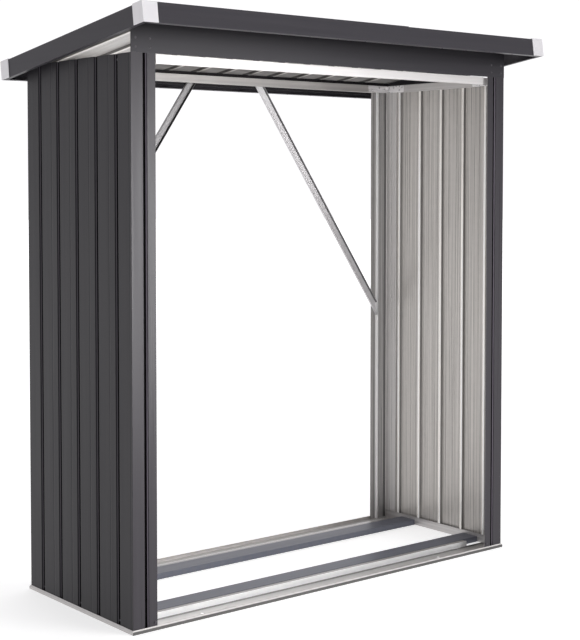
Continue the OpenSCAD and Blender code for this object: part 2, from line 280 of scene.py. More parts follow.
def moulded_plastic(name, hexcode):
    """Injection-moulded white plastic: a soft sheen over a fine spark-eroded grain."""
    mat, tree, bsdf = new_material(name, IOR=1.46)
    coords = add(tree, "ShaderNodeTexCoord").outputs["Object"]
    colour = mottled(tree, coords, 35, linear(hexcode, 0.96), linear(hexcode))
    tree.links.new(colour, bsdf.inputs["Base Color"])
    sheen = add(tree, MAP_RANGE, None, noise(tree, coords, 8), *NOISE_SPAN, 0.38, 0.46)
    tree.links.new(sheen.outputs[0], bsdf.inputs["Roughness"])
    grain = add(tree, "ShaderNodeBump", None, Strength=0.08, Distance=0.1 * MM, Height=noise(tree, coords, 2))
    tree.links.new(grain.outputs[0], bsdf.inputs["Normal"])
    return mat


def zinc_plate(name):
    """Bright zinc-plated screw and rivet heads, slightly uneven where the plating pooled."""
    mat, tree, bsdf = new_material(name, Metallic=1.0)
    coords = add(tree, "ShaderNodeTexCoord").outputs["Object"]
    tree.links.new(mottled(tree, coords, 3, linear("b9b8ba"), linear("e2e1e3")), bsdf.inputs["Base Color"])
    polish = add(tree, MAP_RANGE, None, noise(tree, coords, 2), *NOISE_SPAN, 0.22, 0.36)
    tree.links.new(polish.outputs[0], bsdf.inputs["Roughness"])
    return mat


def studio_floor(name):
    """Matt pale studio paper with barely visible fibre, lit through from below so that it stays white."""
    mat, tree, bsdf = new_material(name, Roughness=0.9)
    bsdf.inputs["Specular IOR Level"].default_value = 0.0
    bsdf.inputs["Emission Color"].default_value = linear("ffffff")
    coords = add(tree, "ShaderNodeTexCoord").outputs["Object"]
    tree.links.new(mottled(tree, coords, 400, linear("dedede"), linear("e1e1e1")), bsdf.inputs["Base Color"])
    away = add(tree, VECTOR_MATH, {"operation": "LENGTH"}, coords).outputs["Value"]
    # The glow rises from 1.5 m to 9 m out, so that the far floor runs into the white behind it
    glow = add(tree, MAP_RANGE, None, away, 1.5, 9.0, 0.54, 0.9)
    tree.links.new(glow.outputs[0], bsdf.inputs["Emission Strength"])
    return mat


ALONG_X, ALONG_Y = (0.015, 1, 1), (1, 0.015, 1)
UPRIGHT, ACROSS, DEEP = (1, 1, 0.006), (0.006, 1, 1), (1, 0.006, 1)

# Planes that depths are measured from: (normal, middle, half the distance between the faces)
MIDDLE_Y = (BODY_FRONT + BODY_BACK) / 2
ROOF_UP = ROOF_FRAME.to_3x3() @ Vector((0, 0, 1))
WALL_FACES = ((1, 0, 0), 0.0, BODY_X)
POST_FACES = ((0, 1, 0), MIDDLE_Y, (BODY_BACK - BODY_FRONT) / 2)
BASE_EDGES = ((0, 1, 0), MIDDLE_Y, MIDDLE_Y - BASE_FRONT)
HEADER_TOP = ((0, 0, 1), 0.0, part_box("header_front")[1].z)
ROOF_FACE = (tuple(ROOF_UP), 0.0, (ROOF_FRAME @ Vector((0, 0, TRIM_RISE - SHEET))).dot(ROOF_UP))

BRACE_SLOPE = 1.45                   # fall of a brace for each unit of run
BRACE_TOP_X = 130 * MM
BRACE_HALF = 12.5 * MM


def brace_edges(side):
    """The edges of the brace at side -1 (left) or 1 (right) as planes square to its length."""
    square = Vector((side * BRACE_SLOPE, 0, 1)).normalized()
    return tuple(square), Vector((side * BRACE_TOP_X, 0, RAIL_FOOT)).dot(square), BRACE_HALF


# Shade drawn into the finishes as (depth in mm, level), because soft light alone leaves these narrow folds
# too even. It follows the place on the piece, so it is the same from every side.
# A groove's rim catches little light, its flank some, and its floor almost none
WALL_GROOVES = ((0, 1.0), (0.3, 1.2), (0.9, 0.5), (2.3, 0.4), (2.7, 3.4), (4.8, 3.4), (5.3, 0.1),
                (8.2, 0.02))
POST_GROOVES = ((0, 1.0), (0.2, 1.0), (0.6, 0.3), (1.6, 0.3), (2.0, 6.0), (4.6, 6.0), (5.2, 0.2),
                (8.2, 0.02))
# Behind a post, painted highlights on its leg and the fold beside its groove, with a thin painted shade in
# the corner between
POST_INSIDE = ((0, 1.9), (3, 1.9), (4, 0.35), (12, 0.35), (15, 0.95), (45, 0.9), (46, 3.0), (50, 3.0),
               (51, 1.0), (72, 1.05))
# Inside the walls and under the roof, a painted highlight on the ribs' crests and painted shade on their
# flanks
WALL_RIBS = ((0, 1.0), (1.3, 1.0), (2.0, 0.45), (7.8, 0.45), (8.5, 2.1), (9.4, 2.1))
ROOF_RIBS = ((0, 0.95), (1.3, 0.95), (2.0, 0.25), (7.4, 0.3), (8.4, 1.6), (9.4, 1.6))
# A brace's channel: painted shade on its flanges' inner faces, deepest on the left brace
BRACE_LEFT_BANDS = ((0, 0.5), (0.7, 0.5), (0.85, 0.03), (2.2, 0.03), (3.2, 0.3), (9, 0.5), (25, 0.5))
BRACE_RIGHT_BANDS = ((0, 0.9), (0.7, 0.9), (0.85, 0.28), (2.2, 0.28), (3.0, 1.1), (25, 1.1))
# Painted shade of the overhang on the upper part of the headers
HEADER_SHADE = ((0, 0.3), (28, 0.45), (52, 0.8), (78, 1.0), (200, 1.0))
# Painted shade and painted highlights across the base rail's lip, floor, foot of the web, web and fold
BASE_BANDS = ((0, 0.16), (0.5, 0.19), (0.9, 1.2), (3.4, 1.2), (4.6, 0.85), (40, 0.7), (60, 0.5), (65, 0.12),
              (74.3, 0.08), (74.8, 2.4), (76.3, 2.4), (77.6, 0.6), (90.5, 0.5), (92, 0.3))


def finish(key):
    """The material for a finish, made the first time that it is asked for."""
    colours = bpy.context.scene.log_store_colours
    finishes = {
        "wall_paint": ("Coated steel, roll-formed wall",
            lambda n: coated_steel(n, colours.wall, painted_shade_and_highlight=(WALL_FACES, WALL_GROOVES))),
        "post_paint": ("Coated steel, folded post",
            lambda n: coated_steel(n, colours.posts, rough=0.32, painted_shade_and_highlight=(POST_FACES, POST_GROOVES))),
        "header_paint": ("Coated steel, flat header",
            lambda n: coated_steel(n, colours.trim, ALONG_X, 0.36, (HEADER_TOP, HEADER_SHADE))),
        # The back header's inside is the header paint drawn much darker, as painted shade
        "header_inside": ("Coated steel, back header", lambda n: coated_steel(n, "1d1b1f", ALONG_X, 0.6)),
        "trim_paint": ("Coated steel, folded trim", lambda n: coated_steel(n, colours.trim, ALONG_X, 0.4)),
        "roof_paint": ("Coated steel, roll-formed roof",
            lambda n: coated_steel(n, colours.trim, ALONG_Y, 0.45)),
        "rest_paint": ("Coated steel, blue-grey rest",
            lambda n: coated_steel(n, colours.rests, ALONG_X, 0.4)),
        "wall_inside": ("Galvanised steel, wall inside",
            lambda n: galvanised_steel(n, "bab6b2", UPRIGHT, 0.3, 0.3, ((WALL_FACES, WALL_RIBS),), 0.3, 5)),
        "roof_inside": ("Galvanised steel, roof underside",
            lambda n: galvanised_steel(n, "c4c1be", DEEP, 0.34, 0.3, ((ROOF_FACE, ROOF_RIBS),), 0.15)),
        "post_inside": ("Galvanised steel, post inside",
            lambda n: galvanised_steel(
                n, "b4b2b1", UPRIGHT, 0.3, 0.35, ((WALL_FACES, POST_INSIDE),), 0.1, 6)),
        # The front and back top rails are one galvanised steel: the front is drawn lighter as painted light,
        # the back darker as painted shade
        "front_rail_zinc": ("Galvanised steel, front rail",
            lambda n: galvanised_steel(n, "e2dfde", ACROSS, 0.34, 0.4, contrast=0.05)),
        "rail_zinc": ("Galvanised steel, back rail",
            lambda n: galvanised_steel(n, "bbb8b6", ACROSS, 0.34, 0.5)),
        "base_zinc": ("Galvanised steel, folded base rail",
            lambda n: galvanised_steel(n, "cfccca", ACROSS, 0.36, 0.4, ((BASE_EDGES, BASE_BANDS),), 0.06)),
        "bracket_zinc": ("Galvanised steel, pressed bracket",
            lambda n: galvanised_steel(n, "efedee", ACROSS, 0.3, 0.5, contrast=0.05)),
        "side_zinc": ("Galvanised steel, rolled front to back",
            lambda n: galvanised_steel(n, "c6c3c2", DEEP, 0.34, 0.5)),
        # The two braces are one galvanised steel; only their painted shade and highlights differ
        "brace_left_zinc": ("Galvanised steel, rolled left brace",
            lambda n: galvanised_steel(
                n, "dcdadc", UPRIGHT, 0.45, 0.2, ((brace_edges(-1), BRACE_LEFT_BANDS),), 0.04)),
        "brace_right_zinc": ("Galvanised steel, rolled right brace",
            lambda n: galvanised_steel(
                n, "dcdadc", UPRIGHT, 0.45, 0.2, ((brace_edges(1), BRACE_RIGHT_BANDS),), 0.04)),
        "cap_plastic": ("White plastic, injection-moulded", lambda n: moulded_plastic(n, colours.caps)),
        "fastener_zinc": ("Zinc-plated steel, cold-headed", zinc_plate),
        "fastener_paint": ("Painted steel, cold-headed", lambda n: coated_steel(n, "4c494e", (1, 1, 1), 0.3)),
        "floor_paper": ("Studio paper, matt", studio_floor),
    }
    name, make = finishes[key]
    return bpy.data.materials.get(name) or make(name)


# ---------------------------------------------------------------- shapes


def keep(obj, slot, *nodes):
    """Rides a finished piece on the store and says which frame pieces it stands for."""
    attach(obj, BODY)
    if nodes:
        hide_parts(*nodes)
    return obj


def show(name, mesh):
    """A mesh as an object in the scene."""
    mesh.name = name
    obj = bpy.data.objects.new(name, mesh)
    bpy.context.scene.collection.objects.link(obj)
    return obj


def settle(obj):
    """Turns an object's live modifiers into a plain mesh."""
    dg = bpy.context.evaluated_depsgraph_get()
    mesh = bpy.data.meshes.new_from_object(obj.evaluated_get(dg), depsgraph=dg)
    old = obj.data
    obj.modifiers.clear()
    obj.data = mesh
    name = obj.name
    bpy.data.meshes.remove(old)
    mesh.name = name
    return obj


def crisp(obj, angle=28):
    """Smooth shading that stays flat on the flats and sharp at real edges."""
    obj.data.shade_smooth()
    obj.data.set_sharp_from_angle(angle=math.radians(angle))
    mod = obj.modifiers.new("flats", "WEIGHTED_NORMAL")
    mod.keep_sharp = True
    mod.weight = 90
    return settle(obj)


def rounded(path, radius, steps=3):
    """A 2-D path with each corner made a short arc."""
    out = [path[0]]
    for a, b, c in zip(path, path[1:], path[2:]):
        back, ahead = a - b, c - b
        turn = math.pi - back.angle(ahead)
        reach = min(radius * math.tan(turn / 2), 0.45 * back.length, 0.45 * ahead.length)
        if turn < math.radians(4):
            out.append(b)
            continue
        start, end = b + back.normalized() * reach, b + ahead.normalized() * reach
        for i in range(steps + 1):
            t = i / steps
            out.append((1 - t) ** 2 * start + 2 * t * (1 - t) * b + t * t * end)
    return out + [path[-1]]


def offset(path, distance):
    """The path moved to its left."""
    normals = []
    for a, b in zip(path, path[1:]):
        d = (b - a).normalized()
        normals.append(Vector((-d.y, d.x)))
    out = []
    for i, p in enumerate(path):
        n1, n2 = normals[max(i - 1, 0)], normals[min(i, len(normals) - 1)]
        out.append(p + distance * (n1 + n2) / (1 + n1.dot(n2)))
    return out


def folded_sheet(path, start, end, to_3d, radius):
    """Mesh data of a folded sheet. The path in mm is its outer face, with the thickness to the left. Start
    and end give the ends' places for a path point, and to_3d turns a path point and a place along the
    sheet into a vector."""
    line = rounded([Vector(p) * MM for p in path], radius)
    inner = offset(line, SHEET)
    n = len(line)
    verts = []
    for where in (start, end):
        verts += [to_3d(p, where(p)) for p in line]
        verts += [to_3d(p, where(p)) for p in inner]
    faces, inside = [], []
    for i in range(n - 1):
        faces.append((i, i + 1, 2 * n + i + 1, 2 * n + i))
        inside.append(0)
        faces.append((n + i + 1, n + i, 3 * n + i, 3 * n + i + 1))
        inside.append(1)
        for k in (0, 2 * n):
            faces.append((k + i, k + n + i, k + n + i + 1, k + i + 1))
            inside.append(1)
    for i in (0, n - 1):
        faces.append((i, 2 * n + i, 3 * n + i, n + i))
        inside.append(1)
    return verts, faces, inside


def sheet_piece(name, parts, outside, inside):
    """One piece from several folded sheets, with its normals turned outwards."""
    bm = bmesh.new()
    for verts, faces, marks in parts:
        vs = [bm.verts.new(v) for v in verts]
        for face, mark in zip(faces, marks):
            bm.faces.new([vs[i] for i in face]).material_index = mark
    bmesh.ops.recalc_face_normals(bm, faces=bm.faces)
    mesh = bpy.data.meshes.new(name)
    bm.to_mesh(mesh)
    bm.free()
    mesh.materials.append(finish(outside))
    mesh.materials.append(finish(inside))
    return crisp(show(name, mesh))


def softened(name, node, outside, inside=None, is_inside=None, width=0.4, segments=2):
    """A merged copy of a frame piece with its edges eased, and its inner faces in a second finish."""
    bm = bmesh.new()
    bm.from_mesh(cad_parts[node].data)
    bmesh.ops.remove_doubles(bm, verts=bm.verts, dist=1e-5)
    bmesh.ops.dissolve_limit(bm, angle_limit=math.radians(1), verts=bm.verts, edges=bm.edges)
    for face in bm.faces:
        face.material_index = 0
        if is_inside and is_inside(face.normal, face.calc_center_median()):
            face.material_index = 1
    mesh = bpy.data.meshes.new(name)
    bm.to_mesh(mesh)
    bm.free()
    mesh.materials.append(finish(outside))
    if inside:
        mesh.materials.append(finish(inside))
    obj = show(name, mesh)
    bevel = obj.modifiers.new("eased", "BEVEL")
    bevel.width = width * MM
    bevel.segments = segments
    bevel.limit_method = "ANGLE"
    bevel.angle_limit = math.radians(30)
    return crisp(settle(obj))


# ---------------------------------------------------------------- geometry node trees


def tree_with(name, sockets):
    """An empty Geometry Nodes tree with named inputs."""
    tree = bpy.data.node_groups.new(name, "GeometryNodeTree")
    for label, kind, value in sockets:
        item = tree.interface.new_socket(label, in_out="INPUT", socket_type=kind)
        if value is not None:
            item.default_value = value
    tree.interface.new_socket("Geometry", in_out="OUTPUT", socket_type="NodeSocketGeometry")
    return tree, tree.nodes.new("NodeGroupInput").outputs, tree.nodes.new("NodeGroupOutput")


def run_tree(obj, tree, **values):
    """Runs a tree on an object with the given inputs and leaves a plain mesh."""
    mod = obj.modifiers.new(tree.name, "NODES")
    mod.node_group = tree
    for item in tree.interface.items_tree:
        key = item.name.replace(" ", "_")
        if item.in_out == "INPUT" and key in values:
            mod[item.identifier] = values[key]
    return settle(obj)


def ribbed_sheet_tree():
    """Sheet in XY with its length along Y, its painted face at z = 0 and its grooves going down."""
    name = "Ribbed sheet"
    if name in bpy.data.node_groups:
        return bpy.data.node_groups[name]
    tree, given, out = tree_with(name, [
        ("Geometry", "NodeSocketGeometry", None), ("Width", "NodeSocketFloat", 0.5),
        ("Length", "NodeSocketFloat", 1.0), ("First", "NodeSocketFloat", 0.07),
        ("Pitch", "NodeSocketFloat", 0.095), ("Count", "NodeSocketInt", 5),
        ("Mouth", "NodeSocketFloat", 0.016), ("Floor", "NodeSocketFloat", 0.008),
        ("Depth", "NodeSocketFloat", 0.008), ("Crease", "NodeSocketFloat", 0.0004),
        ("Radius", "NodeSocketFloat", 0.0016), ("Thickness", "NodeSocketFloat", 0.001),
        ("Outside", "NodeSocketMaterial", None), ("Inside", "NodeSocketMaterial", None)])

    per_groove = 7
    points = add(tree, MATH, TIMES_PLUS, given["Count"], per_groove, 2).outputs[0]
    line = add(tree, "GeometryNodeMeshLine", {"mode": "OFFSET"}, Count=points)
    index = add(tree, "GeometryNodeInputIndex").outputs[0]
    step = add(tree, MATH, MINUS, index, 1).outputs[0]
    share = add(tree, MATH, {"operation": "DIVIDE"}, step, per_groove).outputs[0]
    groove = add(tree, MATH, {"operation": "FLOOR"}, share).outputs[0]
    before = add(tree, MATH, TIMES, groove, per_groove).outputs[0]
    corner = add(tree, MATH, MINUS, step, before).outputs[0]
    centre = add(tree, MATH, TIMES_PLUS, groove, given["Pitch"], given["First"]).outputs[0]
    # A faint crease lies two thirds of a flat before each groove
    flat = add(tree, MATH, MINUS, given["Pitch"], given["Mouth"]).outputs[0]
    mouth_start = add(tree, MATH, TIMES, given["Mouth"], -0.5).outputs[0]
    mouth_end = add(tree, MATH, TIMES, given["Mouth"], 0.5).outputs[0]
    floor_start = add(tree, MATH, TIMES, given["Floor"], -0.5).outputs[0]
    floor_end = add(tree, MATH, TIMES, given["Floor"], 0.5).outputs[0]
    crease = add(tree, MATH, TIMES_PLUS, flat, -2 / 3, mouth_start).outputs[0]
    half_crease = 2.5 * MM
    crease_start = add(tree, MATH, MINUS, crease, half_crease).outputs[0]
    crease_end = add(tree, MATH, PLUS, crease, half_crease).outputs[0]
    crease_down = add(tree, MATH, TIMES, given["Crease"], -1).outputs[0]
    groove_down = add(tree, MATH, TIMES, given["Depth"], -1).outputs[0]
    # The seven corners of a groove: their places across the sheet, and how far down they lie
    picked = []
    for values in ((crease_start, crease, crease_end, mouth_start, floor_start, floor_end, mouth_end),
                   (0.0, crease_down, 0.0, 0.0, groove_down, groove_down, 0.0)):
        switch = add(tree, "GeometryNodeIndexSwitch", {"data_type": "FLOAT"})
        while len(switch.index_switch_items) < per_groove:
            switch.index_switch_items.new()
        for socket, value in zip(switch.inputs, (corner, *values)):
            if isinstance(value, bpy.types.NodeSocket):
                tree.links.new(value, socket)
            else:
                socket.default_value = value
        picked.append(switch.outputs[0])
    across, down = picked
    x = add(tree, MATH, PLUS, centre, across).outputs[0]
    at_start = add(tree, MATH, {"operation": "LESS_THAN"}, index, 0.5).outputs[0]
    last = add(tree, MATH, MINUS, points, 1.5).outputs[0]
    at_end = add(tree, MATH, {"operation": "GREATER_THAN"}, index, last).outputs[0]
    after_start = add(tree, MATH, MINUS, 1, at_start).outputs[0]
    inside_run = add(tree, MATH, MINUS, after_start, at_end).outputs[0]
    x = add(tree, MATH, TIMES, x, inside_run).outputs[0]
    x = add(tree, MATH, TIMES_PLUS, at_end, given["Width"], x).outputs[0]
    z = add(tree, MATH, TIMES, down, inside_run).outputs[0]
    position = add(tree, "ShaderNodeCombineXYZ", None, X=x, Y=0.0, Z=z)
    placed = add(tree, "GeometryNodeSetPosition", None, Geometry=line.outputs[0],
                 Position=position.outputs[0])
    curve = add(tree, "GeometryNodeMeshToCurve", None, Mesh=placed.outputs[0])
    bent = add(tree, "GeometryNodeFilletCurve", {"mode": "POLY"}, Curve=curve.outputs[0], Count=3,
               Radius=given["Radius"], Limit_Radius=True)
    edge = add(tree, "GeometryNodeCurveToMesh", None, Curve=bent.outputs[0])
    run = add(tree, "ShaderNodeCombineXYZ", None, X=0.0, Y=given["Length"], Z=0.0)
    face = add(tree, "GeometryNodeExtrudeMesh", {"mode": "EDGES"}, Mesh=edge.outputs[0],
               Offset=run.outputs[0], Offset_Scale=1.0)
    up = add(tree, "GeometryNodeInputNormal")
    facing = add(tree, "ShaderNodeSeparateXYZ", None, Vector=up.outputs[0]).outputs[2]
    wrong = add(tree, MATH, {"operation": "LESS_THAN"}, facing, 0.0).outputs[0]
    upright = add(tree, "GeometryNodeFlipFaces", None, Mesh=face.outputs[0], Selection=wrong)
    flipped = add(tree, "GeometryNodeFlipFaces", None, Mesh=upright.outputs[0])
    thick = add(tree, "GeometryNodeExtrudeMesh", {"mode": "FACES"}, Mesh=flipped.outputs[0],
                Offset_Scale=given["Thickness"], Individual=False)
    skin = add(tree, "GeometryNodeStoreNamedAttribute", {"data_type": "BOOLEAN", "domain": "FACE"},
               Geometry=upright.outputs[0], Name="painted", Value=True)
    joined = tree.nodes.new("GeometryNodeJoinGeometry")
    tree.links.new(thick.outputs[0], joined.inputs[0])
    tree.links.new(skin.outputs[0], joined.inputs[0])
    closed = add(tree, "GeometryNodeMergeByDistance", None, Geometry=joined.outputs[0], Distance=1e-5)
    real = add(tree, "GeometryNodeRealizeInstances", None, Geometry=closed.outputs[0])
    backed = add(tree, "GeometryNodeSetMaterial", None, Geometry=real.outputs[0], Material=given["Inside"])
    painted = add(tree, "GeometryNodeInputNamedAttribute", {"data_type": "BOOLEAN"}, Name="painted")
    done = add(tree, "GeometryNodeSetMaterial", None, Geometry=backed.outputs[0],
               Selection=painted.outputs[0], Material=given["Outside"])
    tree.links.new(done.outputs[0], out.inputs[0])
    return tree


def fastener_tree():
    """A headed fastener on every point, standing along the point's facing direction."""
    name = "Fasteners"
    if name in bpy.data.node_groups:
        return bpy.data.node_groups[name]
    tree, given, out = tree_with(name, [
        ("Geometry", "NodeSocketGeometry", None), ("Head radius", "NodeSocketFloat", 0.004),
        ("Head height", "NodeSocketFloat", 0.003), ("Washer radius", "NodeSocketFloat", 0.006),
        ("Washer height", "NodeSocketFloat", 0.001), ("Hexagonal", "NodeSocketBool", True),
        ("Seed", "NodeSocketInt", 1), ("Material", "NodeSocketMaterial", None)])
    hexagon = add(tree, "GeometryNodeMeshCylinder", None, Vertices=6, Radius=given["Head radius"],
                  Depth=given["Head height"])
    dome = add(tree, "GeometryNodeMeshUVSphere", None, Segments=14, Rings=8, Radius=given["Head radius"])
    squash = add(tree, MATH, {"operation": "DIVIDE"}, given["Head height"], given["Head radius"])
    flat = add(tree, "ShaderNodeCombineXYZ", None, X=1.0, Y=1.0, Z=squash.outputs[0])
    domed = add(tree, "GeometryNodeTransform", None, Geometry=dome.outputs[0], Scale=flat.outputs[0])
    rise = add(tree, MATH, TIMES_PLUS, given["Head height"], 0.5, given["Washer height"])
    lift = add(tree, "ShaderNodeCombineXYZ", None, X=0.0, Y=0.0, Z=rise.outputs[0])
    raised = add(tree, "GeometryNodeTransform", None, Geometry=hexagon.outputs[0],
                 Translation=lift.outputs[0])
    head = add(tree, "GeometryNodeSwitch", {"input_type": "GEOMETRY"},
               given["Hexagonal"], domed.outputs[0], raised.outputs[0])
    top = add(tree, MATH, TIMES, given["Washer radius"], 0.86)
    washer = add(tree, "GeometryNodeMeshCone", None, Vertices=20, Radius_Bottom=given["Washer radius"],
                 Radius_Top=top.outputs[0], Depth=given["Washer height"])
    joined = tree.nodes.new("GeometryNodeJoinGeometry")
    tree.links.new(head.outputs[0], joined.inputs[0])
    tree.links.new(washer.outputs[0], joined.inputs[0])
    facing = add(tree, "GeometryNodeInputNamedAttribute", {"data_type": "FLOAT_VECTOR"}, Name="facing")
    aimed = add(tree, "FunctionNodeAlignRotationToVector", {"axis": "Z"}, Vector=facing.outputs[0])
    turn = add(tree, "FunctionNodeRandomValue", {"data_type": "FLOAT"}, Seed=given["Seed"])
    turn.inputs[3].default_value = math.tau
    about = add(tree, "FunctionNodeAxisAngleToRotation", None, Axis=(0, 0, 1), Angle=turn.outputs[1])
    spun = add(tree, "FunctionNodeRotateRotation", {"rotation_space": "LOCAL"}, Rotation=aimed.outputs[0],
               Rotate_By=about.outputs[0])
    placed = add(tree, "GeometryNodeInstanceOnPoints", None, Points=given["Geometry"],
                 Instance=joined.outputs[0], Rotation=spun.outputs[0])
    real = add(tree, "GeometryNodeRealizeInstances", None, Geometry=placed.outputs[0])
    done = add(tree, "GeometryNodeSetMaterial", None, Geometry=real.outputs[0], Material=given["Material"])
    tree.links.new(done.outputs[0], out.inputs[0])
    return tree


def ribbed_sheet(name, width, length, first, pitch, count, place, outside, inside):
    """A ribbed sheet piece laid into its place."""
    sizes = bpy.context.scene.log_store_sizes
    obj = show(name, bpy.data.meshes.new(name))
    run_tree(obj, ribbed_sheet_tree(), Width=width, Length=length, First=first, Pitch=pitch, Count=count,
             Mouth=sizes.groove_mouth, Floor=sizes.groove_floor, Depth=sizes.groove_depth,
             Crease=0.5 * MM, Radius=sizes.fold_radius, Thickness=SHEET,
             Outside=finish(outside), Inside=finish(inside))
    obj.data.transform(place)
    if place.determinant() < 0:
        obj.data.flip_normals()
    return crisp(obj)


def fasteners(name, points, seed, hexagonal, head, height, washer, washer_height, metal):
    """One piece with a fastener at each (position, facing) pair."""
    mesh = bpy.data.meshes.new(name)
    mesh.from_pydata([p for p, f in points], [], [])
    facing = mesh.attributes.new("facing", "FLOAT_VECTOR", "POINT")
    for i, (p, f) in enumerate(points):
        facing.data[i].vector = f
    obj = show(name, mesh)
    run_tree(obj, fastener_tree(), Head_radius=head, Head_height=height, Washer_radius=washer,
             Washer_height=washer_height, Hexagonal=hexagonal, Seed=seed, Material=finish(metal))
    return keep(crisp(obj, 35), "galvanised_steel")


# ---------------------------------------------------------------- operators

FLOOR_RADIUS = 40                    # metres


class LOGSTORE_OT_side_walls(bpy.types.Operator):
    """Ribbed side walls, painted outside and galvanised inside"""

    bl_idname = "logstore.side_walls"
    bl_label = "Side walls"

    def execute(self, context):
        sizes = context.scene.log_store_sizes
        depth = WALL_HIGH.y - WALL_LOW.y
        first = (depth - (WALL_GROOVE_COUNT - 1) * sizes.wall_pitch) / 2
        # Sheet x runs to the back, its length goes up, and its painted face looks outwards (-X)
        rows = ((0, 0, -1, -BODY_X), (1, 0, 0, WALL_LOW.y), (0, 1, 0, WALL_LOW.z), (0, 0, 0, 1))
        place = Matrix(rows)
        for side, turn in (("left", Matrix.Identity(4)), ("right", MIRROR_X)):
            wall = ribbed_sheet(f"wall_sheet_{side}", depth, WALL_TOP - WALL_LOW.z, first, sizes.wall_pitch,
                                WALL_GROOVE_COUNT, turn @ place, "wall_paint", "wall_inside")
            keep(wall, "wall_paint", f"side_wall_{side}")
        return {"FINISHED"}


class LOGSTORE_OT_posts(bpy.types.Operator):
    """Corner posts with a groove in the face and a leg behind the side wall"""

    bl_idname = "logstore.posts"
    bl_label = "Corner posts"

    def execute(self, context):
        radius = context.scene.log_store_sizes.fold_radius
        # In mm from the outer corner: the face with its groove, and the leg behind the side wall
        face = [(0.0, 1.0), (0, 0), (35, 0), (38, 8), (44, 8), (47, 0), (72, 0)]
        leg = [(1.02, 48), (1.02, 1.02)]
        for end in ("front", "back"):
            for side in ("left", "right"):
                low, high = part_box(f"post_{end}_{side}")
                x0 = low.x if side == "left" else high.x
                y0 = low.y if end == "front" else high.y
                sx = 1 if side == "left" else -1
                sy = 1 if end == "front" else -1

                def to_3d(p, z, x0=x0, y0=y0, sx=sx, sy=sy):
                    return Vector((x0 + sx * p.x, y0 + sy * p.y, z))

                # The leg ends at the wall's top; a front post's face goes on up behind the header
                parts = [folded_sheet(path, lambda p, z=low.z: z, lambda p, z=top: z, to_3d, radius)
                         for path, top in ((face, high.z), (leg, min(high.z, WALL_TOP)))]
                post = sheet_piece(f"corner_post_{end}_{side}", parts, "post_paint", "post_inside")
                keep(post, "dark_paint", f"post_{end}_{side}")
        return {"FINISHED"}


class LOGSTORE_OT_base(bpy.types.Operator):
    """Galvanised base rails and the painted log rests"""

    bl_idname = "logstore.base"
    bl_label = "Base rails and log rests"

    def execute(self, context):
        for node, zinc in (("front", "base_zinc"), ("back", "base_zinc"),
                           ("left", "side_zinc"), ("right", "side_zinc")):
            keep(softened(f"base_channel_{node}", f"base_rail_{node}", zinc),
                 "galvanised_steel", f"base_rail_{node}")
        for node in ("front", "back"):
            keep(softened(f"log_rest_{node}_channel", f"log_rest_{node}", "rest_paint"),
                 "blue_grey_paint", f"log_rest_{node}")
        return {"FINISHED"}


class LOGSTORE_OT_top_frame(bpy.types.Operator):
    """Galvanised top rails, corner brackets and back braces"""

    bl_idname = "logstore.top_frame"
    bl_label = "Top frame and braces"

    def execute(self, context):
        for node, zinc in (("front", "front_rail_zinc"), ("back", "rail_zinc"),
                           ("left", "side_zinc"), ("right", "side_zinc")):
            keep(softened(f"top_tube_{node}", f"top_rail_{node}", zinc, width=0.45),
                 "galvanised_steel", f"top_rail_{node}")
        for end in ("front", "back"):
            for side in ("left", "right"):
                keep(softened(f"corner_angle_{end}_{side}", f"bracket_{end}_{side}", "bracket_zinc"),
                     "galvanised_steel", f"bracket_{end}_{side}")
        for side in ("left", "right"):
            brace = softened(f"back_brace_{side}", f"brace_{side}", f"brace_{side}_zinc")
            keep(brace, "galvanised_steel", f"brace_{side}")
        return {"FINISHED"}


class LOGSTORE_OT_headers(bpy.types.Operator):
    """Front and back header panels"""

    bl_idname = "logstore.headers"
    bl_label = "Headers"

    def execute(self, context):
        for end in ("front", "back"):
            panel = softened(f"roof_header_{end}", f"header_{end}", "header_paint", "header_inside",
                             lambda normal, centre: end == "back" and normal.y < -0.5, width=0.3)
            keep(panel, "dark_paint", f"header_{end}")
        return {"FINISHED"}


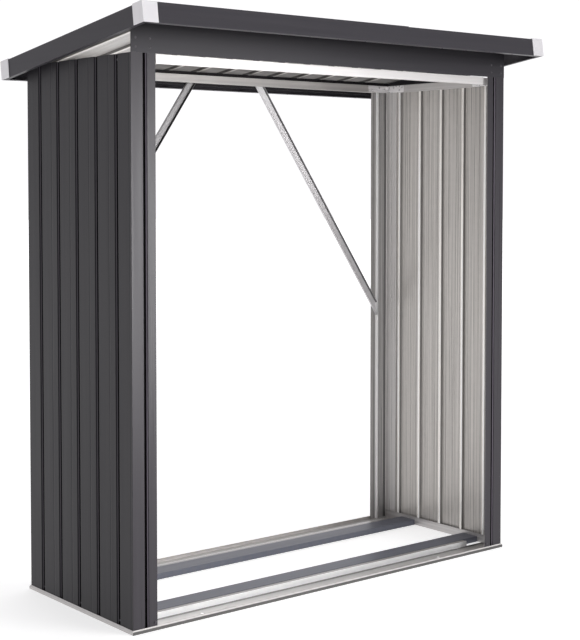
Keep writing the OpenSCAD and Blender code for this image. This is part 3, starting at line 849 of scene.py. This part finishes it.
class LOGSTORE_OT_roof(bpy.types.Operator):
    """Ribbed roof sheets, folded trims and corner caps"""

    bl_idname = "logstore.roof"
    bl_label = "Roof"

    def execute(self, context):
        sizes = context.scene.log_store_sizes
        pitch = sizes.roof_pitch
        edge = TRIM_INSET + SHEET + 0.3 * MM      # the sheets end just inside the trims
        seam = 1.5 * pitch                        # the two sheets meet between the first and second groove
        ribs = [i * pitch for i in range(-ROOF_RIBS_EACH_WAY, ROOF_RIBS_EACH_WAY + 1)]
        for side, a, b in (("left", edge - ROOF_X, seam), ("right", seam, ROOF_X - edge)):
            mine = [x for x in ribs if a < x < b]
            place = ROOF_FRAME @ Matrix.Translation((a, edge, TRIM_RISE - SHEET))
            sheet = ribbed_sheet(f"ribbed_roof_{side}", b - a, ROOF_RUN - 2 * edge, mine[0] - a, pitch,
                                 len(mine), place, "roof_paint", "roof_inside")
            keep(sheet, "dark_paint", f"roof_sheet_{side}")
        section = [(25, 50), (0, 50), (0, 0), (12, 0)]      # a trim's folds in mm, its outer face at 0
        radius = sizes.fold_radius
        x_end, y_end = ROOF_X - TRIM_INSET, ROOF_RUN - TRIM_INSET
        for end, y0, sy in (("front", TRIM_INSET, 1), ("back", y_end, -1)):
            for side, x0, sx, stop in (("left", -x_end, 1, seam + x_end), ("right", x_end, -1, x_end - seam)):
                # The longer length laps over the shorter one, so its face stands proud by most of a sheet
                lap, rise, overlap = (0.8 * MM, 1.3 * MM, 14 * MM) if side == "left" else (0.0, 0.0, 0.0)

                def to_3d(p, along, x0=x0, y0=y0, sx=sx, sy=sy, lap=lap, rise=rise):
                    up = p.y + (rise if p.y > 20 * MM else 0)
                    return ROOF_FRAME @ Vector((x0 + sx * along, y0 + sy * (p.x - lap), up))

                stop += overlap
                part = folded_sheet(section, lambda p: p.x, lambda p, stop=stop: stop, to_3d, radius)
                keep(sheet_piece(f"roof_trim_{end}_{side}", [part], "trim_paint", "trim_paint"),
                     "dark_paint", f"trim_{end}_{side}")
        for side, x0, sx in (("left", -x_end, 1), ("right", x_end, -1)):

            def to_3d(p, along, x0=x0, sx=sx):
                return ROOF_FRAME @ Vector((x0 + sx * p.x, along, p.y))

            part = folded_sheet(section, lambda p: TRIM_INSET + p.x, lambda p: y_end - p.x, to_3d, radius)
            keep(sheet_piece(f"roof_trim_side_{side}", [part], "roof_paint", "roof_paint"),
                 "dark_paint", f"trim_side_{side}")
        for end in ("front", "back"):
            for side in ("left", "right"):
                cap = softened(f"corner_cap_{end}_{side}", f"cap_{end}_{side}", "cap_plastic",
                               width=0.8, segments=3)
                keep(cap, "white_plastic", f"cap_{end}_{side}")
        return {"FINISHED"}


class LOGSTORE_OT_fasteners(bpy.types.Operator):
    """Screws and rivets"""

    bl_idname = "logstore.fasteners"
    bl_label = "Screws and rivets"

    def execute(self, context):
        sizes = context.scene.log_store_sizes
        depth = WALL_HIGH.y - WALL_LOW.y
        first = WALL_LOW.y + (depth - (WALL_GROOVE_COUNT - 1) * sizes.wall_pitch) / 2
        low_row, high_row = 20 * MM, 1426 * MM      # heights of the screws near a wall's foot and top
        post_screw = 65 * MM                        # from the store's side to the screw in a post's foot
        leg = 1.5 * MM                              # a bracket's thickness
        screws, rivets, joints, drips = [], [], [], []
        for sx, side in ((-1, "left"), (1, "right")):
            out = Vector((sx, 0, 0))
            for groove, heights in ((0, (low_row, high_row)), (2, (low_row,)), (4, (low_row,))):
                for z in heights:
                    y = first + groove * sizes.wall_pitch
                    screws.append((Vector((sx * (BODY_X - sizes.groove_depth), y, z)), out))
            for y, sy in ((BODY_FRONT, -1), (BODY_BACK, 1)):
                screws.append((Vector((sx * (BODY_X - post_screw), y, low_row)), Vector((0, sy, 0))))
            # Four rivets hold the header to each front post, in mm from the store's side and the wall's top
            for x, z in ((14, 14), (14, 36), (56, 14), (56, 36)):
                place = Vector((sx * (BODY_X - x * MM), BODY_FRONT - SHEET, WALL_TOP + z * MM))
                rivets.append((place, Vector((0, -1, 0))))
            # Screws and rivets along both legs of each corner bracket
            for end, sy in (("front", -1), ("back", 1)):
                low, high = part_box(f"bracket_{end}_{side}")
                corner = (low + high) / 2
                corner.x = high.x if sx > 0 else low.x
                corner.y = high.y if sy > 0 else low.y
                for reach, rise in ((12, 0), (34, 5), (62, -4)):
                    along_y = corner + Vector((-sx * leg, -sy * reach * MM, rise * MM))
                    along_x = corner + Vector((-sx * reach * MM, -sy * leg, rise * MM))
                    joints += [(along_y, Vector((-sx, 0, 0))), (along_x, Vector((0, -sy, 0)))]
        # Rivets under the trims, one below each groove of the roof
        down = ROOF_FRAME.to_3x3() @ Vector((0, 0, -1))
        from_edge = TRIM_INSET + 7 * MM
        for i in range(-ROOF_RIBS_EACH_WAY, ROOF_RIBS_EACH_WAY + 1):
            for y in (from_edge, ROOF_RUN - from_edge):
                drips.append((ROOF_FRAME @ Vector((i * sizes.roof_pitch, y, 0)), down))
        # name, places, seed, hexagonal, head radius and height, washer radius and height in mm, finish
        screw, rivet = sizes.screw_head / MM, sizes.rivet_head / MM
        for name, places, seed, hexagonal, *heads, metal in (
            ("wall_screws", screws, 11, True, screw, 2.4, 4.2, 0.8, "fastener_paint"),
            ("header_rivets", rivets, 12, False, rivet, 1.2, 3.2, 0.3, "fastener_paint"),
            ("bracket_screws", joints, 14, False, rivet, 1.4, 3.6, 0.4, "fastener_zinc"),
            ("trim_rivets", drips, 13, False, 2.6, 1.4, 3.0, 0.4, "fastener_paint"),
        ):
            fasteners(name, places, seed, hexagonal, *(size * MM for size in heads), metal)
        return {"FINISHED"}


class LOGSTORE_OT_stage(bpy.types.Operator):
    """Pale floor, soft studio light and the camera"""

    bl_idname = "logstore.stage"
    bl_label = "Stage"

    def execute(self, context):
        scene = context.scene
        bm = bmesh.new()
        bmesh.ops.create_circle(bm, cap_ends=True, segments=96, radius=FLOOR_RADIUS)
        mesh = bpy.data.meshes.new("studio_floor")
        bm.to_mesh(mesh)
        bm.free()
        mesh.materials.append(finish("floor_paper"))
        show("studio_floor", mesh)
        world = bpy.data.worlds.new("studio")
        world.use_nodes = True
        tree = world.node_tree
        # White to the store's back right, and darker to its front left
        sky = add(tree, "ShaderNodeTexCoord").outputs["Generated"]
        ahead = add(tree, VECTOR_MATH, {"operation": "DOT_PRODUCT"}, sky, (0.60, 0.72, 0.34))
        level = add(tree, MAP_RANGE, None, ahead.outputs["Value"], 0.0, 0.62, 0.38, 1.06).outputs[0]
        background = tree.nodes["Background"]
        background.inputs["Color"].default_value = linear("fefdff")
        tree.links.new(level, background.inputs["Strength"])
        scene.world = world
        scene.view_settings.view_transform = "Standard"
        # name, place, aim, size in metres, spread in degrees, power in watts
        for name, place, target, size, spread, power in (
            ("key_softbox", (1.5, -3.6, 0.8), (-0.85, -0.24, 0.4), 1.55, 55, 10.5),
            ("top_softbox", (0.4, -1.6, 4.2), (0, 0, 0.8), 2.6, 180, 45),
        ):
            light = bpy.data.lights.new(name, "AREA")
            light.size = size
            light.spread = math.radians(spread)
            light.energy = power
            lamp = bpy.data.objects.new(name, light)
            lamp.location = place
            lamp.rotation_euler = (Vector(target) - Vector(place)).to_track_quat("-Z", "Y").to_euler()
            scene.collection.objects.link(lamp)
        lens = bpy.data.cameras.new("camera")
        lens.lens = 78.57
        lens.sensor_width = 36
        lens.shift_x, lens.shift_y = 0.0088, -0.118
        camera = bpy.data.objects.new("camera", lens)
        camera.location = (-2.5363, -3.1241, 1.1196)
        camera.rotation_euler = (math.radians(87.5), 0, math.radians(-39.1))
        scene.collection.objects.link(camera)
        scene.camera = camera
        return {"FINISHED"}


STEPS = (
    LOGSTORE_OT_side_walls, LOGSTORE_OT_posts, LOGSTORE_OT_base, LOGSTORE_OT_top_frame,
    LOGSTORE_OT_headers, LOGSTORE_OT_roof, LOGSTORE_OT_fasteners, LOGSTORE_OT_stage,
)


class LOGSTORE_PT_panel(bpy.types.Panel):
    """Lists the steps that build the log store"""

    bl_idname = "LOGSTORE_PT_panel"
    bl_label = "Log store"
    bl_space_type = "VIEW_3D"
    bl_region_type = "UI"
    bl_category = "Log store"

    def draw(self, context):
        for step in STEPS:
            self.layout.operator(step.bl_idname)
        for group in (context.scene.log_store_sizes, context.scene.log_store_colours):
            for key in group.bl_rna.properties.keys():
                if key not in ("rna_type", "name"):
                    self.layout.prop(group, key)


CLASSES = (LogStoreSizes, LogStoreColours, *STEPS, LOGSTORE_PT_panel)


def register():
    for cls in CLASSES:
        bpy.utils.register_class(cls)
    bpy.types.Scene.log_store_sizes = bpy.props.PointerProperty(type=LogStoreSizes)
    bpy.types.Scene.log_store_colours = bpy.props.PointerProperty(type=LogStoreColours)


def unregister():
    del bpy.types.Scene.log_store_sizes
    del bpy.types.Scene.log_store_colours
    for cls in reversed(CLASSES):
        bpy.utils.unregister_class(cls)


def main():
    register()
    for step in STEPS:
        group, name = step.bl_idname.split(".")
        getattr(getattr(bpy.ops, group), name)()


if __name__ == "__main__":
    main()
